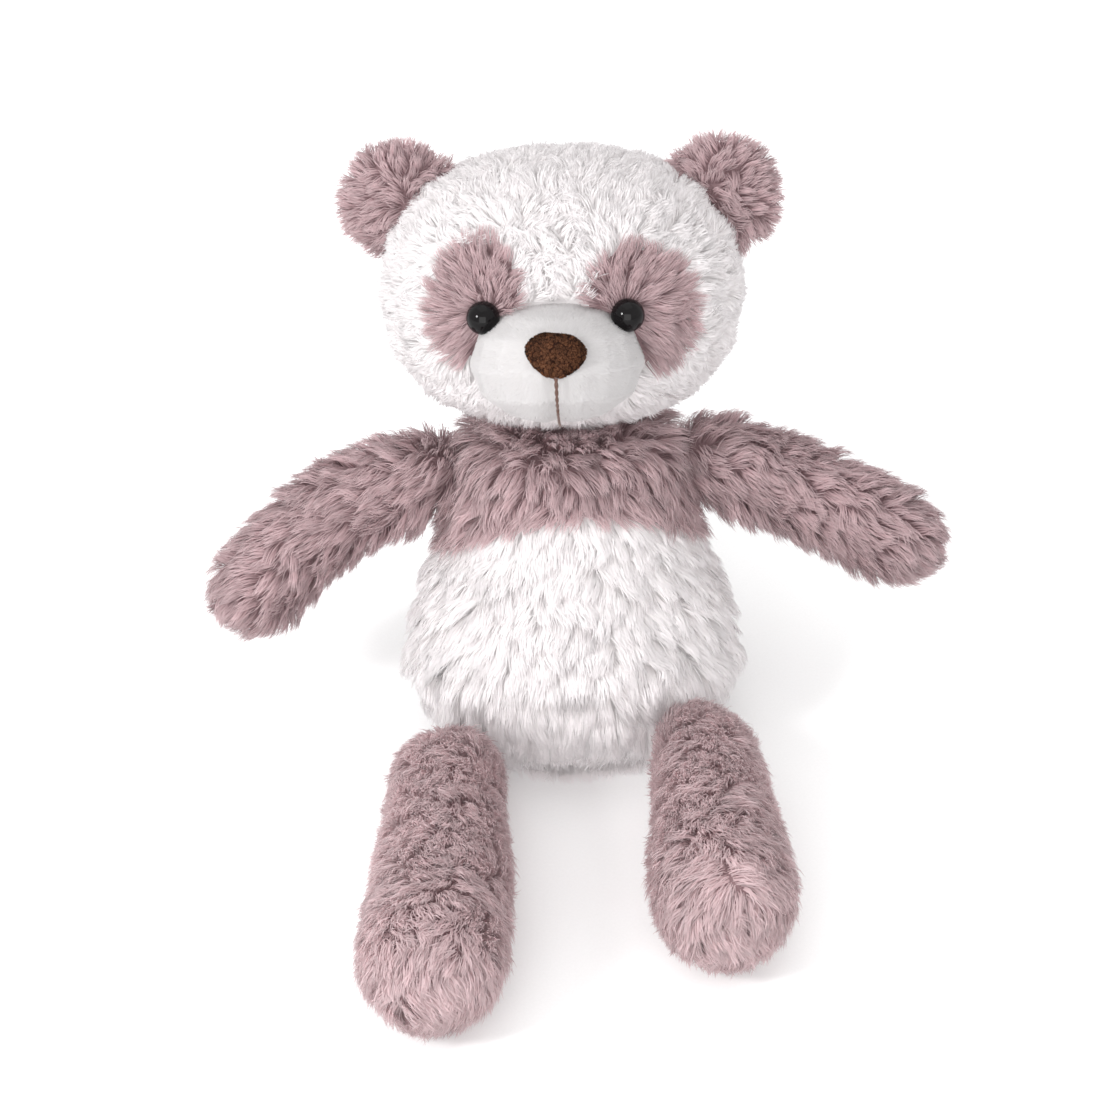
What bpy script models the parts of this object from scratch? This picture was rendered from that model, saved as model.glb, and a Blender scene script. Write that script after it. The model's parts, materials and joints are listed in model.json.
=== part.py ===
"""A plush panda, sitting with its legs stretched forward, as a toy maker would cut and stuff it.

World frame: +Z up, the toy faces -Y, its own left is +X, and the floor is z = 0.
Each moving group hangs from an empty that stands on its joint.
"""

import math

import bmesh
import bpy
import numpy as np
from mathutils import Matrix, Vector

MM = 0.001
NAME = "plush_panda"

# Driving dimensions, in metres. A soft outline is the middle of the pile's tips.
GAP = 0.3 * MM
SKIN = 6.0 * MM  # backing cloth and pile together
STUFFING_GAP = 0.8 * MM
COARSE_GAP = 2.0 * MM  # where the stuffing has fewer sides than the skin round it

# The torso is a turned pear, less deep than wide. Height along its axis, then half width.
TORSO_OUTLINE = (
    (-28.0, 17.0),
    (-20.5, 31.5),
    (-10.0, 43.0),
    (5.0, 55.5),
    (28.0, 66.0),
    (50.0, 62.0),
    (68.0, 52.5),
    (84.0, 49.0),
    (98.0, 48.0),
    (107.0, 42.5),
    (112.0, 32.0),
    (114.0, 18.5),
)
TORSO_DEPTH = 0.86
TORSO_LEAN = math.radians(24)
TORSO_TURN = math.radians(7)
TORSO_ROLL = math.radians(2.5)
BELLY_ARCH_TOP = 84.7 * MM
BELLY_ARCH_RADIUS = 89.0 * MM
SEAT_THICKNESS = 4.0 * MM
POUCH_HEIGHT = 22.0 * MM

# The head, in a frame at the neck: its centre, half sizes and how square its outline is.
NECK_HEIGHT = 115.0 * MM
NECK_BALL = 13.0 * MM
NECK_ROOM = 18.5 * MM
HEAD_NOD = math.radians(5)
HEAD_TURN = math.radians(-9)
HEAD_ROLL = math.radians(-1)
HEAD_CENTRE = Vector((0, 0, 56)) * MM
HEAD_HALF = Vector((69.5, 60, 53)) * MM
HEAD_FULLNESS = 2.3
HEAD_SEAM_DEPTH = 4.0 * MM  # the side seam runs this far behind the centre

MUZZLE_CENTRE = Vector((0, -50, -20)) * MM
MUZZLE_HALF = Vector((32.5, 30, 22.5)) * MM
MUZZLE_BACK = -44.0 * MM
NAP = 3.0 * MM  # the muzzle's short cloth
NOSE_CENTRE = Vector((0, -78.0, -11.5)) * MM
NOSE_HALF = Vector((11.4, 4.8, 8.6)) * MM
MOUTH_THREAD = 0.55 * MM

EYE_RADIUS = 6.1 * MM
EYE_SIDE = 26.3 * MM
EYE_HEIGHT = -3.0 * MM
STEM_RADIUS = 1.6 * MM
STEM_LENGTH = 15.0 * MM
WASHER_RADIUS = 5.0 * MM
PATCH_SIDE = 30.0 * MM
PATCH_HEIGHT = -0.8 * MM
PATCH_HALF = (20.0 * MM, 25.5 * MM)
PATCH_TILT = math.radians(18)

EAR_REACH = 73.0 * MM
EAR_ANGLE = math.radians(28.5)
EAR_DEPTH = 6.0 * MM
EAR_HALF = Vector((22.5, 9.0, 22.5)) * MM
EAR_ROOT = 66.5 * MM
EAR_ROOM = 2.3 * MM

# Limbs: the path's points, then the half thickness at each, in millimetres.
SOCKET_ROOM = 3.8 * MM
SEAM_PIECE = 1.6 * MM
ARM_PATHS = {
    "right": ((-56, 0, 100), (-71, 0, 98.5), (-88, -1, 91.5), (-105, -2, 78.5), (-119.5, -3, 63.5)),
    "left": ((56, 0, 100), (72, -3, 97.5), (89, -8, 90.5), (106.5, -14, 80.5), (122, -20, 71.5)),
}
ARM_RADII = (16.5, 20.5, 21.3, 21.3, 21.5)
LEG_PATHS = {
    "right": ((-41, -40, 14.2), (-45, -63, 23), (-45.5, -92, 25.2), (-48, -130, 26.2), (-50, -165, 26.8)),
    "left": ((41, -36, 14.2), (45, -57, 23), (44.5, -80, 27), (47, -107, 28), (49, -134, 27.3)),
}
LEG_RADII = (13.5, 22.0, 24.5, 25.4, 26.3)
SIDES = {"right": -1, "left": 1}

COLOURS = {
    "mauve_fur": ((0.43, 0.32, 0.33), 0.95),
    "white_fur": ((0.86, 0.84, 0.84), 0.95),
    "muzzle_velour": ((0.87, 0.84, 0.82), 0.9),
    "nose_suede": ((0.10, 0.04, 0.02), 0.85),
    "thread": ((0.10, 0.04, 0.02), 0.8),
    "eye_gloss": ((0.01, 0.01, 0.012), 0.05),
    "clear_plastic": ((0.75, 0.75, 0.75), 0.4),
    "fibre_fill": ((0.9, 0.9, 0.9), 0.95),
    "pouch_cloth": ((0.8, 0.78, 0.72), 0.9),
    "seam_cloth": ((0.4, 0.3, 0.31), 0.95),
}
CUTTER_SIDE = 0.6
SHELL_SEGMENTS = 20
SHELL_RINGS = 10
STUFFING_SEGMENTS = 14
STUFFING_RINGS = 8
PATH_STEPS = 2  # points along a limb from one given point to the next
LIMB_BEVEL = 3  # ten sides round a limb's skin


def clear_scene():
    for thing in list(bpy.data.objects):
        bpy.data.objects.remove(thing, do_unlink=True)


def new_collection(name, hidden=False):
    collection = bpy.data.collections.new(name)
    bpy.context.scene.collection.children.link(collection)
    collection.hide_render = hidden
    return collection


def new_material(name):
    colour, roughness = COLOURS[name]
    material = bpy.data.materials.new(name)
    material.use_nodes = True
    shader = material.node_tree.nodes["Principled BSDF"]
    shader.inputs["Base Color"].default_value = (*colour, 1)
    shader.inputs["Roughness"].default_value = roughness
    shader.inputs["Metallic"].default_value = 0.0
    material.diffuse_color = (*colour, 1)
    return material


clear_scene()
PARTS = new_collection(NAME)
CUTTERS = new_collection("cutters", hidden=True)
MATERIALS = {name: new_material(name) for name in COLOURS}


def new_frame(name, parent, place, turn=Matrix.Identity(3)):
    """An empty that a group of pieces hangs from."""
    frame = bpy.data.objects.new(name, None)
    frame.empty_display_size = 0.02
    frame.parent = parent
    frame.matrix_local = Matrix.Translation(place) @ turn.to_4x4()
    PARTS.objects.link(frame)
    return frame


def turned(x=0.0, y=0.0, z=0.0):
    """Turned about X first, then Y, then Z, each through an angle in radians."""
    return (
        Matrix.Rotation(z, 3, "Z") @ Matrix.Rotation(y, 3, "Y") @ Matrix.Rotation(x, 3, "X")
    )


def add_piece(name, mesh, material, frame):
    piece = bpy.data.objects.new(name, mesh)
    piece.parent = frame
    mesh.materials.clear()
    mesh.materials.append(MATERIALS[material])
    mesh.shade_smooth()
    mesh.set_sharp_from_angle(angle=math.radians(50))
    PARTS.objects.link(piece)
    return piece


def add_cutter(name, mesh, frame):
    cutter = bpy.data.objects.new(name, mesh)
    cutter.parent = frame
    cutter.hide_render = True
    cutter.display_type = "WIRE"
    CUTTERS.objects.link(cutter)
    return cutter


def boolean(piece, operation, *cutters, solver="EXACT"):
    for cutter in cutters:
        modifier = piece.modifiers.new(f"{operation.lower()} {cutter.name}", "BOOLEAN")
        modifier.operation = operation
        modifier.solver = solver
        modifier.object = cutter


def hollow(piece, wall):
    """Keeps only a wall of this thickness inside the surface."""
    modifier = piece.modifiers.new("wall", "SOLIDIFY")
    modifier.thickness = wall
    modifier.offset = -1


def mesh_from(build, name="shape"):
    """A mesh that build fills in, as a bmesh."""
    mesh = bpy.data.meshes.new(name)
    shape = bmesh.new()
    build(shape)
    bmesh.ops.recalc_face_normals(shape, faces=shape.faces)
    shape.to_mesh(mesh)
    shape.free()
    return mesh


def moved(mesh, matrix):
    """A copy of the mesh, moved by the matrix."""
    copy = mesh.copy()
    copy.transform(matrix)
    return copy


def inset(mesh, distance):
    """A copy of a closed mesh whose surface lies this far inside, or outside where negative."""
    copy = mesh.copy()
    places = np.empty(len(mesh.vertices) * 3)
    normals = np.empty(len(mesh.vertices) * 3)
    mesh.vertices.foreach_get("co", places)
    mesh.vertex_normals.foreach_get("vector", normals)
    copy.vertices.foreach_set("co", places - normals * distance)
    copy.update()
    return copy


def block(low, high):
    """A box between two corners."""
    low, high = Vector(low), Vector(high)
    size = Matrix.Diagonal((*(high - low), 1))

    def build(shape):
        bmesh.ops.create_cube(shape, size=1, matrix=Matrix.Translation((low + high) / 2) @ size)

    return mesh_from(build)


def half_space(name, frame, point, normal):
    """A cutter that fills the side of a plane that normal points to, half a gap clear of it."""
    side = CUTTER_SIDE
    mesh = block((-side, -side, GAP / 2), (side, side, 2 * side))
    turn = Vector((0, 0, 1)).rotation_difference(Vector(normal)).to_matrix()
    cutter = add_cutter(name, moved(mesh, Matrix.Translation(point) @ turn.to_4x4()), frame)
    return cutter


def ball(radius, centre=(0, 0, 0), segments=16):
    def build(shape):
        bmesh.ops.create_uvsphere(
            shape,
            u_segments=segments,
            v_segments=segments // 2,
            radius=radius,
            matrix=Matrix.Translation(centre),
        )

    return mesh_from(build)


def rounded_reach(way, half, fullness=2.0):
    """How far a rounded shape reaches from its centre in this direction."""
    return (np.abs(np.array(way) / np.array(half)) ** fullness).sum() ** (-1 / fullness)


def rounded_shape(half, centre=(0, 0, 0), fullness=2.0, segments=SHELL_SEGMENTS, rings=SHELL_RINGS):
    """An ellipsoid, squarer as fullness rises above 2. Its poles are above and below."""

    def build(shape):
        bmesh.ops.create_uvsphere(shape, u_segments=segments, v_segments=rings, radius=1)
        for vertex in shape.verts:
            vertex.co = Vector(centre) + vertex.co * rounded_reach(vertex.co, half, fullness)

    return mesh_from(build)


def rod(radius, start, end, segments=16):
    """A straight cylinder between two points."""
    start, end = Vector(start), Vector(end)
    turn = Vector((0, 0, 1)).rotation_difference(end - start).to_matrix().to_4x4()

    def build(shape):
        bmesh.ops.create_cone(
            shape,
            cap_ends=True,
            segments=segments,
            radius1=radius,
            radius2=radius,
            depth=(end - start).length,
            matrix=Matrix.Translation((start + end) / 2) @ turn,
        )

    return mesh_from(build)


def evaluated_mesh(thing):
    """The mesh that a helper object makes with its modifiers, with the helper removed."""
    thing_collection = bpy.context.scene.collection
    thing_collection.objects.link(thing)
    bpy.context.view_layer.update()
    graph = bpy.context.evaluated_depsgraph_get()
    mesh = bpy.data.meshes.new_from_object(thing.evaluated_get(graph))
    bpy.data.objects.remove(thing)
    shape = bmesh.new()
    shape.from_mesh(mesh)
    bmesh.ops.remove_doubles(shape, verts=shape.verts, dist=1e-6)
    bmesh.ops.recalc_face_normals(shape, faces=shape.faces)
    shape.to_mesh(mesh)
    shape.free()
    return mesh


def turned_shape(outline, segments, closed=False):
    """The outline's (radius, height) points, from the top down its outer side, turned about Z."""
    shape = bmesh.new()
    points = [shape.verts.new((radius, 0, height)) for radius, height in outline]
    for first, second in zip(points, points[1:] + points[:1] if closed else points[1:]):
        shape.edges.new((first, second))
    mesh = bpy.data.meshes.new("outline")
    shape.to_mesh(mesh)
    shape.free()
    thing = bpy.data.objects.new("outline", mesh)
    screw = thing.modifiers.new("turn", "SCREW")
    screw.steps = segments
    screw.render_steps = segments
    screw.use_merge_vertices = True
    screw.merge_threshold = 1e-5
    return evaluated_mesh(thing)


def smooth_path(points, steps):
    """Rows of numbers on a smooth curve through the given rows (Catmull-Rom)."""
    rows = np.array(points, float)
    rows = np.vstack([2 * rows[0] - rows[1], rows, 2 * rows[-1] - rows[-2]])
    found = []
    for a, b, c, d in zip(rows, rows[1:], rows[2:], rows[3:]):
        for t in np.arange(steps) / steps:
            found.append(
                0.5 * (2 * b + (c - a) * t + (2 * a - 5 * b + 4 * c - d) * t**2 + (3 * b - a - 3 * c + d) * t**3)
            )
    return np.array([*found, rows[-2]])


def limb_mesh(path, radii, bevel=LIMB_BEVEL):
    """A tube that swells with its radii and ends in a ball at each end, all in metres."""
    rows = smooth_path(np.column_stack([path, radii]), PATH_STEPS)
    rounding = np.radians([14, 38, 64])
    ends = []
    for row, inner in ((rows[0], rows[1]), (rows[-1], rows[-2])):
        outward = (row[:3] - inner[:3]) / np.linalg.norm(row[:3] - inner[:3])
        ends.append(
            [[*(row[:3] + outward * row[3] * math.cos(a)), row[3] * math.sin(a)] for a in rounding]
        )
    rows = np.vstack([ends[0], rows, ends[1][::-1]])
    curve = bpy.data.curves.new("limb", "CURVE")
    curve.dimensions = "3D"
    curve.bevel_depth = 1
    curve.bevel_resolution = bevel
    curve.use_fill_caps = True
    spline = curve.splines.new("POLY")
    spline.points.add(len(rows) - 1)
    for point, (x, y, z, radius) in zip(spline.points, rows):
        point.co = (x, y, z, 1)
        point.radius = radius
    return evaluated_mesh(bpy.data.objects.new("limb", curve))


def tube_mesh(points, radius):
    """A thin tube through the points."""
    curve = bpy.data.curves.new("tube", "CURVE")
    curve.dimensions = "3D"
    curve.bevel_depth = radius
    curve.bevel_resolution = 2
    curve.use_fill_caps = True
    spline = curve.splines.new("POLY")
    spline.points.add(len(points) - 1)
    for point, place in zip(spline.points, points):
        point.co = (*place, 1)
    return evaluated_mesh(bpy.data.objects.new("tube", curve))


def oval_rod(centre, half_width, half_height, tilt, reach):
    """A rod along Y with an oval section, its top tilted about Y, from y = 0 to y = -reach."""
    size = Matrix.Diagonal((half_width, half_height, reach, 1))
    place = Matrix.Translation((centre[0], -reach / 2, centre[1]))
    turn = Matrix.Rotation(tilt, 4, "Y") @ Matrix.Rotation(math.pi / 2, 4, "X")

    def build(shape):
        bmesh.ops.create_cone(
            shape,
            cap_ends=True,
            segments=20,
            radius1=1,
            radius2=1,
            depth=1,
            matrix=place @ turn @ size,
        )

    return mesh_from(build)


def limb_place(path):
    """The path's points in metres, measured from its first point, and that point."""
    points = np.array(path) * MM
    return points - points[0], Vector(points[0])


ROOT = new_frame("panda_frame", None, (0, 0, 0))
SEAT = new_frame("seat_frame", ROOT, (0, 0, 0))
TORSO_POSE = turned(x=-TORSO_LEAN, y=-TORSO_ROLL) @ turned(z=TORSO_TURN)
TORSO = new_frame("torso_frame", ROOT, (0, 0, 0), TORSO_POSE)
NECK = new_frame("neck_frame", TORSO, (0, 0, NECK_HEIGHT))
HEAD_POSE = turned(HEAD_NOD, -HEAD_ROLL, HEAD_TURN)
FACE = new_frame("face_frame", NECK, HEAD_POSE @ HEAD_CENTRE, HEAD_POSE)


def socket_cutters():
    """The hollows in the torso that the limbs' root balls turn in."""
    for side in SIDES:
        for limb, paths, radii, frame in (
            ("arm", ARM_PATHS, ARM_RADII, TORSO),
            ("leg", LEG_PATHS, LEG_RADII, SEAT),
        ):
            centre = limb_place(paths[side])[1]
            room = radii[0] * MM + SOCKET_ROOM
            yield add_cutter(f"{limb}_socket_{side}", ball(room, centre), frame)


def make_torso():
    outline = [(0, TORSO_OUTLINE[-1][0] + 0.6)]
    outline += [(width, height) for height, width in reversed(TORSO_OUTLINE)]
    outline += [(0, TORSO_OUTLINE[0][0] - 3)]
    outer = turned_shape([(width * MM, height * MM) for width, height in outline], SHELL_SEGMENTS)
    outer.transform(Matrix.Diagonal((1, TORSO_DEPTH, 1, 1)))
    core = inset(outer, SKIN + STUFFING_GAP)

    sockets = list(socket_cutters())
    neck_room = add_cutter("neck_room_below", ball(NECK_ROOM), NECK)
    halves = {
        "front": half_space("torso_front_half", TORSO, (0, 0, 0), (0, -1, 0)),
        "back": half_space("torso_back_half", TORSO, (0, 0, 0), (0, 1, 0)),
    }
    arch_centre = Vector((0, 0, BELLY_ARCH_TOP - BELLY_ARCH_RADIUS))
    through = Vector((0, CUTTER_SIDE / 2, 0))
    arches = [
        add_cutter(name, rod(radius, arch_centre - through, arch_centre + through, 64), TORSO)
        for name, radius in (
            ("below_arch", BELLY_ARCH_RADIUS - GAP / 2),
            ("not_above_arch", BELLY_ARCH_RADIUS + GAP / 2),
        )
    ]
    above_seat = half_space("above_seat", SEAT, (0, 0, SEAT_THICKNESS + GAP / 2), (0, 0, 1))
    above_pouch = half_space("above_pouch", SEAT, (0, 0, POUCH_HEIGHT), (0, 0, 1))

    for half, cutter in halves.items():
        chest = add_piece(f"chest_{half}", outer.copy(), "mauve_fur", TORSO)
        hollow(chest, SKIN)
        boolean(chest, "INTERSECT", cutter)
        boolean(chest, "DIFFERENCE", arches[1], neck_room, *sockets[::2])
        belly = add_piece(f"belly_{half}", outer.copy(), "white_fur", TORSO)
        hollow(belly, SKIN)
        boolean(belly, "INTERSECT", cutter, arches[0], above_seat)
        boolean(belly, "DIFFERENCE", *sockets[1::2])

    seat = add_piece("seat_panel", outer.copy(), "white_fur", TORSO)
    side = CUTTER_SIDE
    slab = add_cutter("seat_slab", block((-side, -side, 0), (side, side, SEAT_THICKNESS)), SEAT)
    boolean(seat, "INTERSECT", slab)
    boolean(seat, "DIFFERENCE", *sockets[1::2])

    stuffing = add_piece("torso_stuffing", core, "fibre_fill", TORSO)
    boolean(stuffing, "INTERSECT", above_pouch)
    boolean(stuffing, "DIFFERENCE", neck_room, *sockets)
    pouch = add_piece("weighting_pouch", core.copy(), "pouch_cloth", TORSO)
    low = SEAT_THICKNESS + STUFFING_GAP
    room = add_cutter("pouch_slab", block((-side, -side, low), (side, side, POUCH_HEIGHT)), SEAT)
    boolean(pouch, "INTERSECT", room)
    boolean(pouch, "DIFFERENCE", *sockets[1::2])


def make_neck():
    add_piece("neck_stuffing", ball(NECK_BALL), "fibre_fill", NECK)
    middle, thickness = (NECK_BALL + NECK_ROOM) / 2, 1.4 * MM
    angles = np.radians(np.arange(0, -360, -60))
    section = [(middle + thickness * math.cos(a), thickness * math.sin(a)) for a in angles]
    add_piece("neck_seam", turned_shape(section, 16, closed=True), "seam_cloth", NECK)


def on_head(x, z):
    """The place on the front of the head at this side and height."""
    half = HEAD_HALF
    rest = 1 - (abs(x) / half.x) ** HEAD_FULLNESS - (abs(z) / half.z) ** HEAD_FULLNESS
    return Vector((x, -half.y * rest ** (1 / HEAD_FULLNESS), z))


def make_eye(side, sign):
    """The dome, its stem and the washer that locks it, in a frame that looks along +Z."""
    outward = Vector((0.2 * sign, -1, 0)).normalized()
    place = on_head(EYE_SIDE * sign, EYE_HEIGHT) - outward * 1.5 * MM
    turn = Vector((0, 0, 1)).rotation_difference(outward).to_matrix()
    frame = new_frame(f"eye_frame_{side}", FACE, place, turn)
    dome = [(EYE_RADIUS * math.sin(a), EYE_RADIUS * math.cos(a)) for a in np.radians(range(0, 91, 18))]
    back = -1.2 * MM
    outline = [*dome, (EYE_RADIUS * 0.9, back), (STEM_RADIUS, back), (STEM_RADIUS, -STEM_LENGTH)]
    add_piece(f"eye_{side}", turned_shape([*outline, (0, -STEM_LENGTH)], 16), "eye_gloss", frame)
    top, bottom = -7.6 * MM, -9.0 * MM
    bore = STEM_RADIUS + GAP
    section = [(WASHER_RADIUS, top), (WASHER_RADIUS, bottom), (bore, bottom), (bore, top)]
    washer = turned_shape(section, 12, closed=True)
    add_piece(f"eye_washer_{side}", washer, "clear_plastic", frame)
    eye_room = add_cutter(f"eye_room_{side}", ball(EYE_RADIUS + 3 * GAP, segments=12), frame)
    stem = rod(bore + GAP, (0, 0, 0), (0, 0, -STEM_LENGTH - GAP), 8)
    stem_room = add_cutter(f"stem_room_{side}", stem, frame)
    washer_rod = rod(WASHER_RADIUS + GAP, (0, 0, top + GAP), (0, 0, bottom - GAP), 12)
    washer_room = add_cutter(f"washer_room_{side}", washer_rod, frame)
    return eye_room, stem_room, washer_room


def make_muzzle(eye_rooms):
    outer = rounded_shape(MUZZLE_HALF, MUZZLE_CENTRE, 2.1, 18, 8)
    front = half_space("muzzle_front_half", FACE, (0, MUZZLE_BACK, 0), (0, -1, 0))
    nose_shape = rounded_shape(NOSE_HALF, (0, 0, 0), 2.4, 14, 8)
    for vertex in nose_shape.vertices:  # narrower below, as a rounded triangle
        vertex.co.x *= 1 + 0.2 * vertex.co.z / NOSE_HALF.z
    nose = add_piece("nose", moved(nose_shape, Matrix.Translation(NOSE_CENTRE)), "nose_suede", FACE)
    nose_room = add_cutter("nose_room", inset(nose.data, -GAP), FACE)

    muzzle = add_piece("muzzle", outer, "muzzle_velour", FACE)
    hollow(muzzle, NAP)
    boolean(muzzle, "INTERSECT", front)
    boolean(muzzle, "DIFFERENCE", nose_room, *eye_rooms)
    half = MUZZLE_HALF - Vector((1, 1, 1)) * (NAP + COARSE_GAP)
    core = rounded_shape(half, MUZZLE_CENTRE, 2.1, 12, 6)
    stuffing = add_piece("muzzle_stuffing", core, "fibre_fill", FACE)
    boolean(stuffing, "INTERSECT", front)
    boolean(stuffing, "DIFFERENCE", nose_room, *eye_rooms)

    clear = MOUTH_THREAD + GAP
    half = (1, MUZZLE_HALF.y + clear, MUZZLE_HALF.z + clear)
    points = []
    for angle in np.radians(range(-8, -78, -7)):
        way = (0, -math.cos(angle), math.sin(angle))
        points.append(MUZZLE_CENTRE + Vector(way) * rounded_reach(way, half, 2.1))
    add_piece("mouth_thread", tube_mesh(points, MOUTH_THREAD), "thread", FACE)

    room = add_cutter("muzzle_room", inset(outer, -GAP), FACE)
    room_front = half_space("muzzle_room_half", FACE, (0, MUZZLE_BACK + GAP, 0), (0, -1, 0))
    boolean(room, "INTERSECT", room_front)
    return room


def make_head():
    outer = rounded_shape(HEAD_HALF, (0, 0, 0), HEAD_FULLNESS)
    neck_room = add_cutter("neck_room_above", ball(NECK_ROOM), NECK)
    rooms = {side: make_eye(side, sign) for side, sign in SIDES.items()}
    eye_rooms = [room for found in rooms.values() for room in (found[0], found[2])]
    muzzle_room = make_muzzle(eye_rooms)
    seam = (0, HEAD_SEAM_DEPTH, 0)
    depths = {
        "front": half_space("head_front_half", FACE, seam, (0, -1, 0)),
        "back": half_space("head_back_half", FACE, seam, (0, 1, 0)),
    }
    for side, sign in SIDES.items():
        centre = (PATCH_SIDE * sign, PATCH_HEIGHT)
        width, height = PATCH_HALF
        tilt = -PATCH_TILT * sign
        oval = oval_rod(centre, width, height, tilt, 2 * HEAD_HALF.y)
        patch_rod = add_cutter(f"patch_rod_{side}", oval, FACE)
        hole = oval_rod(centre, width + GAP, height + GAP, tilt, 2 * HEAD_HALF.y)
        patch_hole = add_cutter(f"patch_hole_{side}", hole, FACE)
        patch = add_piece(f"eye_patch_{side}", outer.copy(), "mauve_fur", FACE)
        hollow(patch, SKIN)
        boolean(patch, "INTERSECT", patch_rod)
        boolean(patch, "DIFFERENCE", muzzle_room, *rooms[side][:2])
        side_half = half_space(f"head_{side}_half", FACE, (0, 0, 0), (sign, 0, 0))
        for depth, cutter in depths.items():
            panel = add_piece(f"head_{depth}_{side}", outer.copy(), "white_fur", FACE)
            hollow(panel, SKIN)
            boolean(panel, "INTERSECT", side_half, cutter)
            boolean(panel, "DIFFERENCE", neck_room)
            if depth == "front":  # EXACT empties the right-hand panel here
                boolean(panel, "DIFFERENCE", muzzle_room, patch_hole, solver="MANIFOLD")
    half = HEAD_HALF - Vector((1, 1, 1)) * (SKIN + COARSE_GAP)
    core = rounded_shape(half, (0, 0, 0), HEAD_FULLNESS, STUFFING_SEGMENTS, STUFFING_RINGS)
    stuffing = add_piece("head_stuffing", core, "fibre_fill", FACE)
    boolean(stuffing, "DIFFERENCE", neck_room, muzzle_room)
    boolean(stuffing, "DIFFERENCE", *[room for found in rooms.values() for room in found[1:]])
    return outer


def make_ears(head_outer):
    room = add_cutter("ear_room", inset(head_outer, -EAR_ROOM), FACE)
    for side, sign in SIDES.items():
        root = Vector((sign * math.cos(EAR_ANGLE), 0, math.sin(EAR_ANGLE))) * EAR_ROOT
        root.y = EAR_DEPTH
        turn = turned(y=sign * (math.pi / 2 - EAR_ANGLE))
        frame = new_frame(f"ear_frame_{side}", FACE, root, turn)
        shape = rounded_shape(EAR_HALF, (0, 0, EAR_REACH - EAR_ROOT), 2.2, 16, 8)
        for half, way in (("front", -1), ("back", 1)):
            panel = add_piece(f"ear_{half}_{side}", shape.copy(), "mauve_fur", frame)
            cutter = half_space(f"ear_{half}_half_{side}", frame, (0, 0, 0), (0, way, 0))
            boolean(panel, "INTERSECT", cutter)
            boolean(panel, "DIFFERENCE", room, solver="MANIFOLD")  # EXACT empties one panel


def make_limb(limb, side, path, radii, frame, halves, inward, seam_at):
    """Two skins and the stuffing of one limb, and the seam allowance that it swings on.

    The seam piece caps the root ball beyond seam_at of its radius, on the inward side.
    """
    points, place = limb_place(path)
    radii = np.array(radii) * MM
    root = new_frame(f"{limb}_frame_{side}", frame, place)
    outer = limb_mesh(points, radii)
    inner = limb_mesh(points, radii - SKIN - STUFFING_GAP)
    for half, normal in halves.items():
        skin = add_piece(f"{limb}_{half}_{side}", outer.copy(), "mauve_fur", root)
        hollow(skin, SKIN)
        boolean(skin, "INTERSECT", half_space(f"{limb}_{half}_half_{side}", root, (0, 0, 0), normal))
    add_piece(f"{limb}_stuffing_{side}", inner, "fibre_fill", root)

    inside = radii[0] + STUFFING_GAP
    cap = ball(inside + SEAM_PIECE)
    seam = add_piece(f"{limb}_seam_{side}", cap, "seam_cloth", root)
    hole = add_cutter(f"{limb}_seam_hole_{side}", ball(inside), root)
    lid = half_space(f"{limb}_seam_half_{side}", root, Vector(inward) * seam_at * radii[0], inward)
    boolean(seam, "DIFFERENCE", hole)
    boolean(seam, "INTERSECT", lid)


def make_limbs():
    for side, sign in SIDES.items():
        arm_halves = {"front": (0, -1, 0), "back": (0, 1, 0)}
        inward = (-sign, 0, 0)
        make_limb("arm", side, ARM_PATHS[side], ARM_RADII, TORSO, arm_halves, inward, 0.72)
        leg_halves = {"outer": (sign, 0, 0), "inner": (-sign, 0, 0)}
        inward = Vector((-0.15 * sign, 1, 0.35)).normalized()
        make_limb("leg", side, LEG_PATHS[side], LEG_RADII, SEAT, leg_halves, inward, 0.88)


def centre_on_floor():
    """Moves the whole toy so that its box is centred over the origin."""
    bpy.context.view_layer.update()
    graph = bpy.context.evaluated_depsgraph_get()
    points = []
    for piece in PARTS.objects:
        if piece.type == "MESH":
            found = piece.evaluated_get(graph)
            points += [found.matrix_world @ vertex.co for vertex in found.data.vertices]
    points = np.array(points)
    middle = (points.min(axis=0) + points.max(axis=0)) / 2
    ROOT.location = (-middle[0], -middle[1], 0)
    bpy.context.view_layer.update()


make_torso()
make_neck()
make_ears(make_head())
make_limbs()
centre_on_floor()
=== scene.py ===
"""The plush panda's looks: pile grown as real fibres on each panel, glossy eyes, a suede nose and a velour muzzle.

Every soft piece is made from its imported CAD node: its surface is evened out and set under the pile's depth,
and ribbons of fibre, gathered in locks, grow from it. Units are metres.
"""

import json
import math

import bmesh
import bpy
import numpy as np
from mathutils import Matrix, Vector
from mathutils.bvhtree import BVHTree
from mathutils.kdtree import KDTree


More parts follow.
